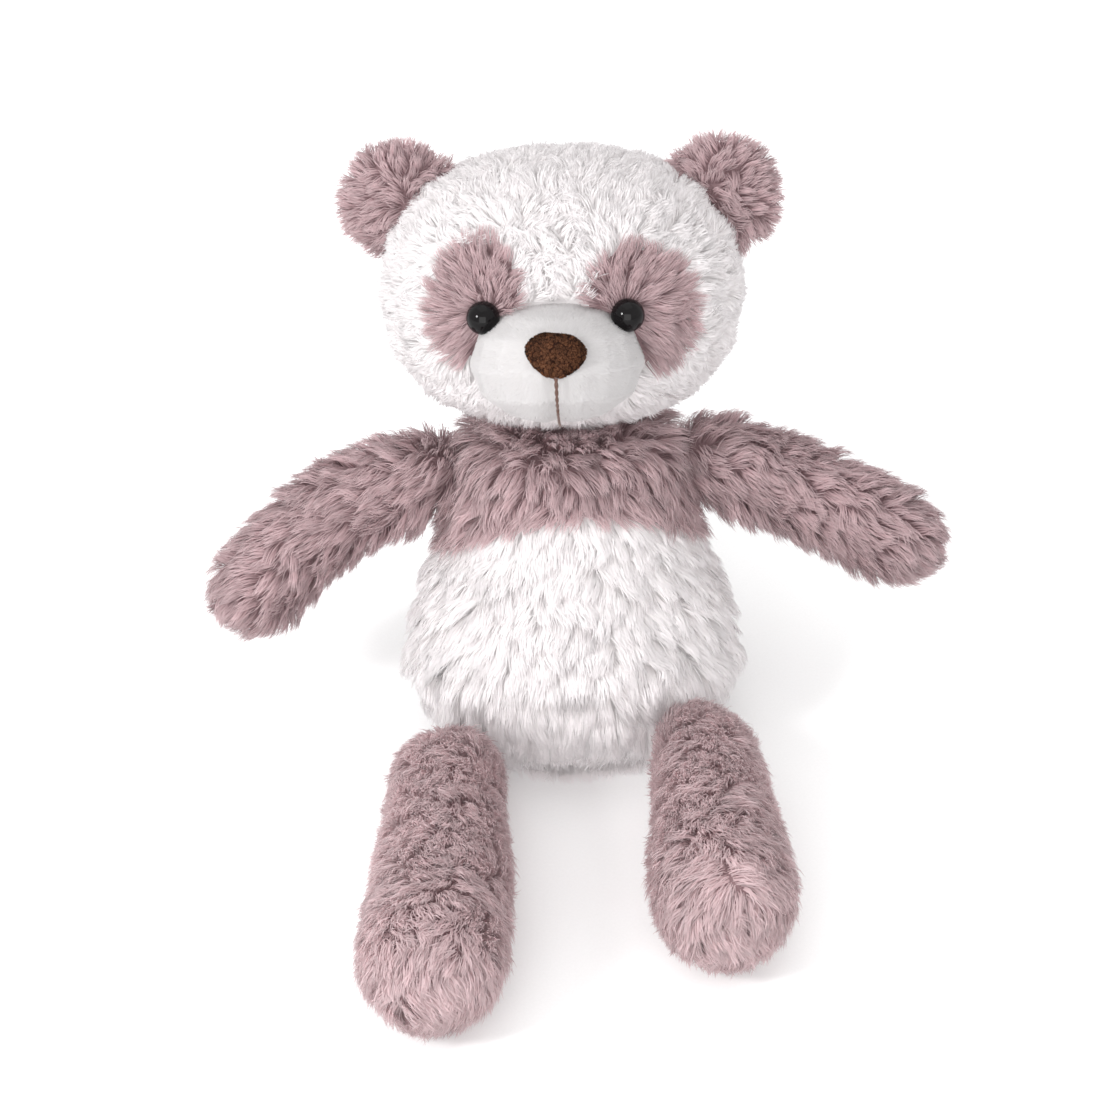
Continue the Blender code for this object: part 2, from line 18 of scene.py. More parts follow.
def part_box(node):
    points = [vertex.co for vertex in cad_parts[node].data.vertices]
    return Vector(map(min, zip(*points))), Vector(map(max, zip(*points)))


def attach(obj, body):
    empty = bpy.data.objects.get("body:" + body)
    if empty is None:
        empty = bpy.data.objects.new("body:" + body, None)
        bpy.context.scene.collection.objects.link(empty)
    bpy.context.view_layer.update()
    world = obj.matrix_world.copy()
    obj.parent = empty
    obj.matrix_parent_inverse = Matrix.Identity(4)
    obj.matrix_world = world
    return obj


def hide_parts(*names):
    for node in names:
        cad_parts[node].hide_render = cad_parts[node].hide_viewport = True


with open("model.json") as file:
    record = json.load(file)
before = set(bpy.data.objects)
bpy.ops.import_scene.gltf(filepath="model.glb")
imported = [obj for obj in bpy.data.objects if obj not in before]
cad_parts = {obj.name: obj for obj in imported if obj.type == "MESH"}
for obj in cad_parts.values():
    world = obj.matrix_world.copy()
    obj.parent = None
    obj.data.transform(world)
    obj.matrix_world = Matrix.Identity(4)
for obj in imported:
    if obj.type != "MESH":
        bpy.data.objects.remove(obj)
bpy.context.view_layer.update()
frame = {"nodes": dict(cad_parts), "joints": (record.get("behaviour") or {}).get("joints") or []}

MM = 0.001
SIDES = ("right", "left")
JOINTS = {joint["name"]: joint for joint in frame["joints"]}

# The pile: how far its backing lies under the CAD surface, and what grows on it.
BACKING_DEPTH = 5.0 * MM
STUFFING_DEPTH = 6.8 * MM  # a stuffing solid lies this far under its skin's outside
FLOOR_GAP = 0.3 * MM
EYE_RADIUS = 6.1 * MM
BELLY_SWELL = 6.0 * MM
BELLY_SWELL_HEIGHT, BELLY_SWELL_REACH = 40 * MM, 20 * MM
BELLY_TUCK, BELLY_TUCK_REACH = 10.0 * MM, 14 * MM
WAIST = 5.0 * MM  # how far each side is drawn in below the arms
WAIST_HEIGHT, WAIST_REACH = 78 * MM, 22 * MM
SHOULDER_RISE, SHOULDER_REACH = 12.0 * MM, 26 * MM
NECK_RISE, NECK_REACH = 3.0 * MM, 30 * MM
SEAM_RISE = 2.5 * MM  # the belly's pile stands this far up over the chest's
ARM_DROP = 1.0 * MM
ARM_THINNING = 2.0 * MM
ARM_ROOT_SINK, ARM_SINK_REACH = 7.0 * MM, 34 * MM  # how far the arm's root reaches into the chest's pile
ARM_ROOT_RISE, ARM_RISE_REACH = 6.0 * MM, 16 * MM
LEG_ROOT_RISE, LEG_RISE_REACH = {"right": -8.0 * MM, "left": 9.0 * MM}, 24 * MM
LEG_ROOT_FLARE, LEG_FLARE_REACH = {"right": 7.0 * MM, "left": 0.0}, 30 * MM  # outwards, at the leg's root
LEG_WAIST = 5.5 * MM  # how far the inner side is drawn in at mid leg
LEG_WAIST_PLACE, LEG_WAIST_REACH = 48 * MM, 26 * MM
# Each limb: the joint at its root, its panels, how much longer its pile is there and over what reach is bare,
# how far the pile turns to the floor over the tip, its filling's inset and its random seed.
LIMBS = {
    "arm": {"joint": "arm_raise", "halves": ("front", "back"), "lush": 0.6, "bare": 4 * MM, "fall": 0.0,
            "inset": 5 * MM, "seed": 400},
    "leg": {"joint": "leg_spread", "halves": ("outer", "inner"), "lush": -0.6, "bare": 9 * MM, "fall": 1.2,
            "inset": 7 * MM, "seed": 500},
}
LIMB_LUSH_REACH = 15 * MM
LIMB_SOURCE = 22 * MM  # how far behind a limb's root its pile seems to come from
EAR_GROWTH = 1.08
EAR_SHIFT = Vector((4.5, 6.0, -2.0)) * MM  # inwards, out of the face, and up
# Each eye patch's rooted oval, from its eye: centre and half size across and up the face.
PATCH_OVALS = {"right": ((-2.7, 5.2), (14.0, 21.0)), "left": ((3.7, 1.8), (17.5, 21.0))}
PATCH_LEAN = math.radians(16)

CAMERA_TARGET = Vector((-0.0106, -0.0201, 0.115))
CAMERA_ELEVATION = math.radians(33)
CAMERA_DISTANCE = 0.96
CAMERA_LENS = 89.67


class Look:
    """How one kind of pile grows. Lengths are in millimetres, densities per square millimetre, strays in degrees.

    softness is how far shading follows the lock instead of the fibre, and roundness how round each lock shades.
    paleness is how far along the colour ramp the fibres start, and so how much of its painted root shade they
    leave out.
    """

    def __init__(self, **values):
        self.density = 1.9
        self.length = 8.0
        self.height = 5.8
        self.width = 0.42
        self.tuft_area = 50.0
        self.lock_area = 9.0
        self.tuft_pull = 0.4
        self.gather = 0.55
        self.wave = 0.9
        self.stray = 26.0
        self.lock_stray = 16.0
        self.frizz = 0.5
        self.droop = 0.1
        self.loose = 0.1
        self.softness = 0.8
        self.roundness = 1.0
        self.tile = 0.2
        self.paleness = 0.0
        self.__dict__.update(values)


LOOKS = {
    "arm": Look(length=7.5, height=6.2, tuft_area=45, lock_area=9, tile=0.25, frizz=0.7, loose=0.14),
    "leg": Look(
        length=7,
        height=5.2,
        tuft_area=40,
        lock_area=8,
        tuft_pull=0.25,
        gather=0.36,
        tile=0.12,
        frizz=0.8,
        loose=0.25,
        density=2.4,
        width=0.46,
        stray=38,
        # paleness 1.0: the legs' fibres keep the tip colour all along, painted light that lifts the legs out of
        # the shade under the belly.
        paleness=1.0,
    ),
    "chest": Look(
        length=8, height=6.2, tuft_area=50, lock_area=10, stray=30, tile=0.25, frizz=0.7, loose=0.14, paleness=0.15
    ),
    "belly": Look(
        length=8.0,
        height=5.2,
        tuft_area=75,
        lock_area=22,
        tuft_pull=0.45,
        gather=0.34,
        wave=0.5,
        stray=13,
        lock_stray=9,
        tile=0.45,
        frizz=0.4,
        loose=0.12,
        width=0.55,
        density=2.4,
        softness=1.0,
        roundness=0.6,
    ),
    "head": Look(
        length=5.2,
        height=5.0,
        tuft_area=30,
        lock_area=9,
        tuft_pull=0.25,
        gather=0.3,
        stray=36,
        width=0.5,
        density=2.4,
        frizz=0.5,
        loose=0.2,
        softness=1.0,
        roundness=0.6,
    ),
    "patch": Look(
        length=7, height=5.0, tuft_area=26, lock_area=6, tuft_pull=0.3, stray=13, width=0.34, density=2.8
    ),
    "ear": Look(length=5, height=5.0, tuft_area=24, lock_area=7, stray=45, width=0.36, density=2.6),
    "muzzle": Look(
        length=1.4,
        height=0.9,
        stray=5,
        lock_stray=5,
        tuft_area=12,
        lock_area=2,
        tuft_pull=0.0,
        gather=0.05,
        wave=0.1,
        density=5.5,
        width=0.2,
        frizz=0.1,
        softness=1.0,
        roundness=0.1,
        tile=0.0,
    ),
    "suede": Look(
        length=0.5,
        height=0.45,
        tuft_area=3,
        lock_area=0.8,
        tuft_pull=0.0,
        gather=0.3,
        wave=0.05,
        stray=120,
        density=24.0,
        width=0.2,
        frizz=0.12,
        softness=0.5,
    ),
}


def linear(*colour):
    """A colour given in 8-bit sRGB, as a shader takes it."""
    values = np.array(colour) / 255
    return tuple(np.where(values <= 0.04045, values / 12.92, ((values + 0.055) / 1.055) ** 2.4))


# ---------------------------------------------------------------- surfaces


class Surface:
    """Points, triangles and the outward direction at each point."""

    def __init__(self, points, triangles):
        self.points = np.array(points, float)
        self.triangles = np.array(triangles, np.int64)

    @property
    def normals(self):
        corners = self.points[self.triangles]
        across = np.cross(corners[:, 1] - corners[:, 0], corners[:, 2] - corners[:, 0])
        ends = self.triangles.ravel()
        total = [np.bincount(ends, np.repeat(across[:, i], 3), len(self.points)) for i in range(3)]
        return unit(np.stack(total, axis=1))

    @property
    def centres(self):
        return self.points[self.triangles].mean(axis=1)

    @property
    def areas(self):
        corners = self.points[self.triangles]
        across = np.cross(corners[:, 1] - corners[:, 0], corners[:, 2] - corners[:, 0])
        return np.linalg.norm(across, axis=1) / 2

    def smoothed(self, rounds):
        """Irons out the facets without shrinking, by turns of smoothing and its opposite."""
        near = self.triangles[:, [0, 1, 2]].ravel(), self.triangles[:, [1, 2, 0]].ravel()
        ends, others = np.concatenate(near), np.concatenate(near[::-1])
        count = np.bincount(ends, minlength=len(self.points))
        points = self.points
        for _ in range(rounds):
            for share in (0.5, -0.51):
                total = [np.bincount(ends, points[others, i], len(points)) for i in range(3)]
                points = points + share * (np.stack(total, axis=1) / count[:, None] - points)
        return Surface(points, self.triangles)

    def offset(self, distance):
        return Surface(self.points + self.normals * distance, self.triangles)


def fade(gaps, reach):
    """1 at no distance, and about a third at the reach."""
    return np.exp(-((gaps / reach) ** 2))


def unit(vectors):
    return vectors / np.maximum(np.linalg.norm(vectors, axis=-1, keepdims=True), 1e-12)


def surface_of(mesh):
    points = np.empty(len(mesh.vertices) * 3)
    mesh.vertices.foreach_get("co", points)
    mesh.calc_loop_triangles()
    triangles = np.empty(len(mesh.loop_triangles) * 3, np.int32)
    mesh.loop_triangles.foreach_get("vertices", triangles)
    return Surface(points.reshape(-1, 3), triangles.reshape(-1, 3))


def node_surface(*nodes):
    """The CAD nodes' own surfaces together."""
    points, triangles, count = [], [], 0
    for node in nodes:
        found = surface_of(frame["nodes"][node].data)
        points.append(found.points)
        triangles.append(found.triangles + count)
        count += len(found.points)
    return Surface(np.vstack(points), np.vstack(triangles))


def mesh_of(name, points, faces):
    """A mesh from points and arrays of faces, each array with its own number of corners."""
    mesh = bpy.data.meshes.new(name)
    mesh.vertices.add(len(points))
    mesh.vertices.foreach_set("co", np.ascontiguousarray(points, np.float32).ravel())
    corners = np.concatenate([face.ravel() for face in faces]).astype(np.int32)
    sizes = np.concatenate([np.full(len(face), face.shape[1]) for face in faces])
    mesh.loops.add(len(corners))
    mesh.loops.foreach_set("vertex_index", corners)
    mesh.polygons.add(len(sizes))
    mesh.polygons.foreach_set("loop_start", (np.cumsum(sizes) - sizes).astype(np.int32))
    mesh.update(calc_edges=True)
    mesh.shade_smooth()
    return mesh


def hull(surface):
    """The convex hull of a surface's points."""
    shape = bmesh.new()
    for point in surface.points:
        shape.verts.new(point)
    made = bmesh.ops.convex_hull(shape, input=shape.verts)
    inner = [item for item in made["geom_interior"] if isinstance(item, bmesh.types.BMVert)]
    bmesh.ops.delete(shape, geom=inner, context="VERTS")
    bmesh.ops.triangulate(shape, faces=shape.faces)
    bmesh.ops.recalc_face_normals(shape, faces=shape.faces)
    mesh = bpy.data.meshes.new("hull")
    shape.to_mesh(mesh)
    shape.free()
    return surface_of(mesh)


def even(surface, voxel, rounds):
    """The surface made again with even faces about one voxel wide, then smoothed."""
    thing = bpy.data.objects.new("rough", mesh_of("rough", surface.points, [surface.triangles]))
    bpy.context.scene.collection.objects.link(thing)
    modifier = thing.modifiers.new("even", "REMESH")
    modifier.mode = "VOXEL"
    modifier.voxel_size = voxel
    bpy.context.view_layer.update()
    mesh = thing.evaluated_get(bpy.context.evaluated_depsgraph_get()).to_mesh()
    found = surface_of(mesh)
    bpy.data.objects.remove(thing)
    return found.smoothed(rounds)


def add_object(name, mesh, *materials):
    thing = bpy.data.objects.new(name, mesh)
    bpy.context.scene.collection.objects.link(thing)
    for material in materials:
        mesh.materials.append(material)
    return thing


# ---------------------------------------------------------------- pile


KNOTS = np.array([0.0, 0.36, 0.7, 1.0])  # a fibre's points, as shares of its length
RIBBON_ALONG = np.array([0, 0, KNOTS[1], KNOTS[1], KNOTS[2], KNOTS[2], 1])
RIBBON_QUADS = np.array([[0, 1, 3, 2], [2, 3, 5, 4]])
RIBBON_TIP = np.array([[4, 5, 6]])


def nearest(points, centres):
    tree = KDTree(len(centres))
    for index, centre in enumerate(centres):
        tree.insert(centre, index)
    tree.balance()
    return np.array([tree.find(point)[1] for point in points])


def turned(vectors, axes, angles):
    """Each vector, square to its axis, turned about it."""
    return vectors * np.cos(angles)[:, None] + np.cross(axes, vectors) * np.sin(angles)[:, None]


def swirl(points, scale):
    """A smooth field from -1 to 1 that varies over about this distance."""
    q = points / scale
    return np.sin(q[:, 0] * 2.1 + 1.7 * np.sin(q[:, 1] * 1.3)) * np.cos(q[:, 2] * 1.9 + q[:, 1] * 1.1)


class Growth:
    """Fibres as ribbons (fibre, 7 points, 3), their shading directions, faces, and each one's shades."""

    def __init__(self, ribbons, facing, faces, along, shade, fibre):
        self.ribbons, self.facing, self.faces = ribbons, facing, faces
        self.along, self.shade, self.fibre = along, shade, fibre

    def part(self, chosen):
        return Growth(*(values[chosen] for values in self.__dict__.values()))


class Spines:
    """The middle lines of tufts, locks or single fibres: where each starts, leans to and how far it goes."""

    def __init__(self, roots, normals, ways, size, rise, phase, wave):
        self.roots, self.normals, self.ways = roots, normals, ways
        self.size, self.rise, self.phase, self.wave = size, rise, phase, wave

    def at(self, t):
        up, out = 1 - (1 - t) ** 1.8, t**1.3
        sides = np.cross(self.normals, self.ways)
        sway = self.wave * t * np.sin(self.phase + 4.5 * t)
        found = self.roots + self.normals * (self.rise * up)[:, None]
        return found + self.ways * (self.size * out)[:, None] + sides * sway[:, None]


def scatter(surface, areas, count, chance):
    """Random places spread evenly over the faces: their points, normals and faces."""
    picks = (np.arange(count) + chance.random(count)) / count
    faces = np.searchsorted(np.cumsum(areas) / areas.sum(), picks).clip(0, len(areas) - 1)
    share = chance.random((count, 2))
    share = np.where(share.sum(axis=1, keepdims=True) > 1, 1 - share, share)
    weights = np.column_stack([1 - share.sum(axis=1), share])[:, :, None]
    corners = surface.triangles[faces]
    roots = (surface.points[corners] * weights).sum(axis=1)
    return roots, unit((surface.normals[corners] * weights).sum(axis=1)), faces


def grow(surface, keep, look, flow, boost, seed):
    """Fibres on the kept faces. flow gives the way the pile lies at some points, boost how long it is there.

    Fibres gather towards their lock's middle line, and locks towards their tuft's.
    """
    chance = np.random.default_rng(seed)
    areas = np.where(keep, surface.areas, 0) / MM**2
    count = int(areas.sum() * look.density)
    roots, normals, faces = scatter(surface, areas, count, chance)
    longer = boost(roots)
    length, height = look.length * MM * longer, look.height * MM * longer
    ways = flow(roots)
    ways = unit(ways - (ways * normals).sum(axis=1, keepdims=True) * normals)

    def spines(chosen, lean, spread, wave):
        number = len(chosen)
        return Spines(
            roots[chosen],
            normals[chosen],
            turned(ways[chosen], normals[chosen], lean),
            length[chosen] * chance.uniform(1 - spread, 1 + spread, number),
            height[chosen] * chance.uniform(1 - spread, 1 + spread * 0.6, number),
            chance.uniform(0, 2 * math.pi, number),
            np.full(number, wave * MM),
        )

    tufts = chance.choice(count, max(1, int(areas.sum() / look.tuft_area)), replace=False)
    locks = chance.choice(count, max(1, int(areas.sum() / look.lock_area)), replace=False)
    tuft_of_lock = nearest(roots[locks], roots[tufts])
    lock_of_fibre = nearest(roots, roots[locks])
    tuft_lean = np.radians(look.stray) * (chance.normal(size=len(tufts)) * 0.7 + swirl(roots[tufts], 0.012))
    lock_lean = tuft_lean[tuft_of_lock] + np.radians(look.lock_stray) * chance.normal(size=len(locks))
    fibre_lean = lock_lean[lock_of_fibre] + np.radians(11) * chance.normal(size=count)
    tuft_lines = spines(tufts, tuft_lean, 0.2, look.wave)
    lock_lines = spines(locks, lock_lean, 0.22, look.wave)
    fibre_lines = spines(np.arange(count), fibre_lean, 0.14, look.wave * 0.3)
    tuft_of_fibre = tuft_of_lock[lock_of_fibre]
    reach = ((roots - roots[tufts][tuft_of_fibre]) * ways).sum(axis=1) / (math.sqrt(look.tuft_area) * MM / 2)
    fibre_lines.rise = fibre_lines.rise * (1 + look.tile * np.clip(reach, -1, 1))
    lock_reach = reach[locks]
    lock_lines.rise = lock_lines.rise * (1 + look.tile * np.clip(lock_reach, -1, 1))
    gather = np.where(chance.random(count) < look.loose, 0.1, look.gather)
    drift = chance.normal(size=(count, 3)) * look.frizz * MM
    line, spread = [], []
    for t in KNOTS:
        pull = look.tuft_pull * t
        middle = lock_lines.at(t) * (1 - pull) + tuft_lines.at(t)[tuft_of_lock] * pull
        share = (gather * t)[:, None]
        place = fibre_lines.at(t) * (1 - share) + middle[lock_of_fibre] * share + drift * t
        place[:, 2] -= look.droop * length * t**2
        line.append(place)
        spread.append(place - middle[lock_of_fibre])
    line = np.stack(line, axis=1)

    along = unit(line[:, 1:] - line[:, :-1])
    sides = unit(np.cross(along, normals[:, None]))
    twist = chance.normal(size=(count, 1, 1)) * 0.5
    sides = sides * np.cos(twist) + np.cross(along, sides) * np.sin(twist)
    half = look.width * MM / 2 * chance.uniform(0.7, 1.2, count)[:, None, None]
    half = half * np.array([1.0, 0.95, 0.7])[None, :, None]
    ribbons = np.empty((count, 7, 3))
    ribbons[:, 0:6:2] = line[:, :3] - sides * half
    ribbons[:, 1:6:2] = line[:, :3] + sides * half
    ribbons[:, 6] = line[:, 3]
    ribbons[:, :, 2] = np.maximum(ribbons[:, :, 2], FLOOR_GAP * chance.uniform(1, 4, (count, 1)))
    flat = unit(np.cross(sides, along))
    turn = np.stack(spread, axis=1) * look.roundness / (math.sqrt(look.lock_area) * MM)
    rounded = unit(turn + 0.8 * normals[:, None])
    soft = look.softness
    facing = np.empty((count, 7, 3))
    for knot, places in enumerate(((0, 1), (2, 3), (4, 5), (6,))):
        mixed = unit(rounded[:, knot] * soft + flat[:, min(knot, 2)] * (1 - soft))
        facing[:, places] = mixed[:, None]
    shade = chance.random(len(locks))[lock_of_fibre]
    # paleness starts the fibres further along the colour ramp, leaving out part of its painted root shade.
    along = np.tile(look.paleness + (1 - look.paleness) * RIBBON_ALONG, (count, 1))
    return Growth(ribbons, facing, faces, along, shade, chance.random(count))


def panel_mesh(name, surface, faces, growth):
    """One panel: its backing's faces, then its fibres, with the values that its material reads."""
    used, triangles = np.unique(surface.triangles[faces], return_inverse=True)
    triangles = triangles.reshape(-1, 3)
    backing = surface.points[used].copy()
    backing[:, 2] = np.maximum(backing[:, 2], FLOOR_GAP)
    count = len(growth.ribbons)
    first = len(used) + 7 * np.arange(count)[:, None, None]
    quads = (first + RIBBON_QUADS).reshape(-1, 4)
    tips = (first + RIBBON_TIP).reshape(-1, 3)
    points = np.vstack([backing, growth.ribbons.reshape(-1, 3)])
    mesh = mesh_of(name, points, [triangles, quads, tips])
    # The backing takes the ramp's root colour, painted shade in the gaps between the fibres.
    for attribute, over_backing, over_pile in (
        ("along", 0.0, growth.along.ravel()),
        ("lock", 0.5, np.repeat(growth.shade, 7)),
        ("fibre", 0.5, np.repeat(growth.fibre, 7)),
    ):
        values = np.concatenate([np.full(len(used), over_backing), over_pile])
        layer = mesh.attributes.new(attribute, "FLOAT", "POINT")
        layer.data.foreach_set("value", values.astype(np.float32))
    facing = np.vstack([surface.normals[used], growth.facing.reshape(-1, 3)])
    mesh.normals_split_custom_set_from_vertices(facing.astype(np.float32))
    return mesh


def owners_of(surface, nodes):
    """For each face, the index of the CAD node that it lies nearest to."""
    trees = []
    for node in nodes:
        found = node_surface(node)
        trees.append(BVHTree.FromPolygons(found.points.tolist(), found.triangles.tolist()))
    centres = surface.centres
    gaps = [[tree.find_nearest(Vector(centre))[3] for centre in centres] for tree in trees]
    return np.argmin(np.array(gaps), axis=0)


def inside(points, solid, margin):
    """Whether each point lies in a convex solid grown by the margin."""
    corners = solid.points[solid.triangles]
    ways = unit(np.cross(corners[:, 1] - corners[:, 0], corners[:, 2] - corners[:, 0]))
    reach = (ways * corners[:, 0]).sum(axis=1)
    found = np.ones(len(points), bool)
    for way, limit in zip(ways, reach):
        found &= points @ way < limit + margin
    return found


# ---------------------------------------------------------------- materials


def nodes_of(name):
    material = bpy.data.materials.new(name)
    material.use_nodes = True
    tree = material.node_tree
    return material, tree, tree.nodes["Principled BSDF"]


def ramp(tree, factor, *stops):
    """A colour ramp fed by factor, with (place, colour) stops."""
    node = tree.nodes.new("ShaderNodeValToRGB")
    elements = node.color_ramp.elements
    while len(elements) < len(stops):
        elements.new(0.5)
    for element, (place, colour) in zip(elements, stops):
        element.position = place
        element.color = (*colour, 1)
    tree.links.new(factor, node.inputs["Fac"])
    return node.outputs["Color"]


def noise_value(tree, scale, detail=3.0, roughness=0.55):
    """A noise over the object's own coordinates."""
    place = tree.nodes.new("ShaderNodeTexCoord")
    node = tree.nodes.new("ShaderNodeTexNoise")
    node.inputs["Scale"].default_value = scale
    node.inputs["Detail"].default_value = detail
    node.inputs["Roughness"].default_value = roughness
    tree.links.new(place.outputs["Object"], node.inputs["Vector"])
    return node.outputs["Fac"]


def blended(tree, kind, share, first, second):
    node = tree.nodes.new("ShaderNodeMix")
    node.data_type = "RGBA"
    node.blend_type = kind
    node.inputs["Factor"].default_value = share
    tree.links.new(first, node.inputs[6])
    tree.links.new(second, node.inputs[7])
    return node.outputs[2]


def bumped(tree, shader, height, strength, distance):
    node = tree.nodes.new("ShaderNodeBump")
    node.inputs["Strength"].default_value = strength
    node.inputs["Distance"].default_value = distance
    tree.links.new(height, node.inputs["Height"])
    tree.links.new(node.outputs["Normal"], shader.inputs["Normal"])


def pile_material(name, root, middle, tip, contrast, glow, sheen, lift):
    """Fibre that lightens from root to tip, its darker root being painted shade deep in the pile, varied from lock
    to lock and from fibre to fibre.

    glow is the share of light that passes through a fibre. lift is light of the pile's own. Real pile has none:
    it makes up for shadows between the fibres that come out darker than the photograph's.
    """
    material, tree, shader = nodes_of(name)
    read = {}
    for attribute in ("along", "lock", "fibre"):
        node = tree.nodes.new("ShaderNodeAttribute")
        node.attribute_name = attribute
        read[attribute] = node.outputs["Fac"]
    # Painted shade: the ramp darkens each fibre towards its root, where the pile shades itself.
    colour = ramp(tree, read["along"], (0.0, root), (0.45, middle), (1.0, tip))
    low, high = (1 - contrast,) * 3, (1.0,) * 3
    colour = blended(tree, "MULTIPLY", 1.0, colour, ramp(tree, read["lock"], (0.0, low), (1.0, high)))
    half = (1 - contrast / 2,) * 3
    colour = blended(tree, "MULTIPLY", 1.0, colour, ramp(tree, read["fibre"], (0.0, half), (1.0, high)))
    patchy = ramp(tree, noise_value(tree, 35.0), (0.35, half), (0.65, high))
    colour = blended(tree, "MULTIPLY", 1.0, colour, patchy)
    tree.links.new(colour, shader.inputs["Base Color"])
    shader.inputs["Roughness"].default_value = 0.85
    shader.inputs["Specular IOR Level"].default_value = 0.2
    shader.inputs["Sheen Weight"].default_value = sheen
    shader.inputs["Sheen Roughness"].default_value = 0.5
    tree.links.new(colour, shader.inputs["Emission Color"])
    shader.inputs["Emission Strength"].default_value = lift
    through = tree.nodes.new("ShaderNodeBsdfTranslucent")
    tree.links.new(colour, through.inputs["Color"])
    mix = tree.nodes.new("ShaderNodeMixShader")
    mix.inputs["Fac"].default_value = glow
    tree.links.new(shader.outputs["BSDF"], mix.inputs[1])
    tree.links.new(through.outputs["BSDF"], mix.inputs[2])
    tree.links.new(mix.outputs["Shader"], tree.nodes["Material Output"].inputs["Surface"])
    return material


def cloth_material(name, low, high, scale, roughness, bump):
    """Cloth or filling with a mottled colour and a fine rough surface."""
    material, tree, shader = nodes_of(name)
    fine = noise_value(tree, scale, 5.0, 0.7)
    tree.links.new(ramp(tree, fine, (0.3, low), (0.7, high)), shader.inputs["Base Color"])
    bumped(tree, shader, fine, 0.6, bump)
    shader.inputs["Roughness"].default_value = roughness
    shader.inputs["Sheen Weight"].default_value = 0.3
    return material


def gloss_material(name, colour, roughness, coat):
    """Moulded plastic with the faint swirl of its pour."""
    material, tree, shader = nodes_of(name)
    swirl_value = noise_value(tree, 400.0, 2.0)
    lighter = tuple(value * 1.6 + 0.002 for value in colour)
    tree.links.new(ramp(tree, swirl_value, (0.3, colour), (0.8, lighter)), shader.inputs["Base Color"])
    shader.inputs["Roughness"].default_value = roughness
    shader.inputs["Coat Weight"].default_value = coat
    shader.inputs["Coat Roughness"].default_value = 0.02
    shader.inputs["Specular IOR Level"].default_value = 0.12
    return material


def make_materials():
    return {
        "mauve_fur": pile_material(
            "mauve_pile",
            linear(176, 147, 150),
            linear(208, 181, 184),
            linear(232, 210, 212),
            contrast=0.14, glow=0.5, sheen=0.2, lift=0.08,
        ),
        "white_fur": pile_material(
            "white_pile",
            linear(241, 238, 238),
            linear(242, 239, 239),
            linear(243, 240, 241),
            contrast=0.015, glow=0.5, sheen=0.0, lift=0.155,
        ),
        "muzzle_velour": pile_material(
            "muzzle_velour",
            linear(227, 225, 225),
            linear(229, 227, 227),
            linear(230, 229, 229),
            contrast=0.005, glow=0.5, sheen=0.0, lift=0.05,
        ),
        "nose_suede": pile_material(
            "nose_suede",
            linear(44, 17, 5),
            linear(84, 46, 25),
            linear(140, 96, 68),
            contrast=0.5, glow=0.0, sheen=0.0, lift=0.0,
        ),
        "thread": cloth_material("brown_thread", linear(58, 32, 22), linear(96, 62, 48), 4000.0, 0.7, 0.05 * MM),
        "eye_gloss": gloss_material("eye_gloss", linear(8, 6, 7), 0.08, 0.1),
        "clear_plastic": gloss_material("washer_plastic", linear(150, 150, 148), 0.4, 0.0),
        "fibre_fill": cloth_material(
            "fibre_fill", linear(222, 222, 220), linear(250, 250, 249), 220.0, 0.95, 1.0 * MM
        ),
        "pouch_cloth": cloth_material(
            "pouch_cloth", linear(196, 190, 176), linear(222, 217, 204), 900.0, 0.9, 0.3 * MM
        ),
        "seam_cloth": cloth_material(
            "seam_cloth", linear(112, 88, 90), linear(150, 124, 126), 1500.0, 0.95, 0.2 * MM
        ),
    }


MATERIALS = make_materials()


def place(piece, body, slot, nodes, fill=None):
    """Lets the piece move with its body and hides the CAD nodes that it replaces; slot and fill are not used."""
    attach(piece, body)
    if nodes:
        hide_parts(*nodes)
    return piece


# ---------------------------------------------------------------- furry parts


def plain(points):
    return np.ones(len(points))


def furry_part(surface, panels, body, flow, skip, seed, boost=plain, owner=None):
    """Pile on each panel of one part. panels gives each CAD node's look and material slot."""
    if owner is None:
        owner = owners_of(surface, list(panels))
    centres = surface.centres
    bare = np.zeros(len(centres), bool)
    for test in skip:
        bare |= test(centres)
    names = list(panels)
    for number, kind in enumerate(sorted(set(panels.values()))):
        look, slot = kind
        members = [index for index, name in enumerate(names) if panels[name] == kind]
        keep = np.isin(owner, members) & ~bare
        growth = grow(surface, keep, LOOKS[look], flow[look], boost, seed + number)
        for index in members:
            backing = np.flatnonzero(owner == index)
            mesh = panel_mesh(names[index], surface, backing, growth.part(owner[growth.faces] == index))
            piece = add_object(names[index] + "_pile", mesh, MATERIALS[slot])
            place(piece, body, slot, [names[index]], 0.7)


def near(centre, radius):
    """A test for points this near a centre."""
    return lambda points: np.linalg.norm(points - np.array(centre), axis=1) < radius


def along_limb(root, fall=0.0):
    """From the root to the tip, falling more and more towards the floor over the tip."""

    def flow(points):
        away = points - np.array(root)
        far = np.linalg.norm(away, axis=1, keepdims=True)
        return away / far + np.array((0, 0, -fall)) * (far / far.max()) ** 6

    return flow


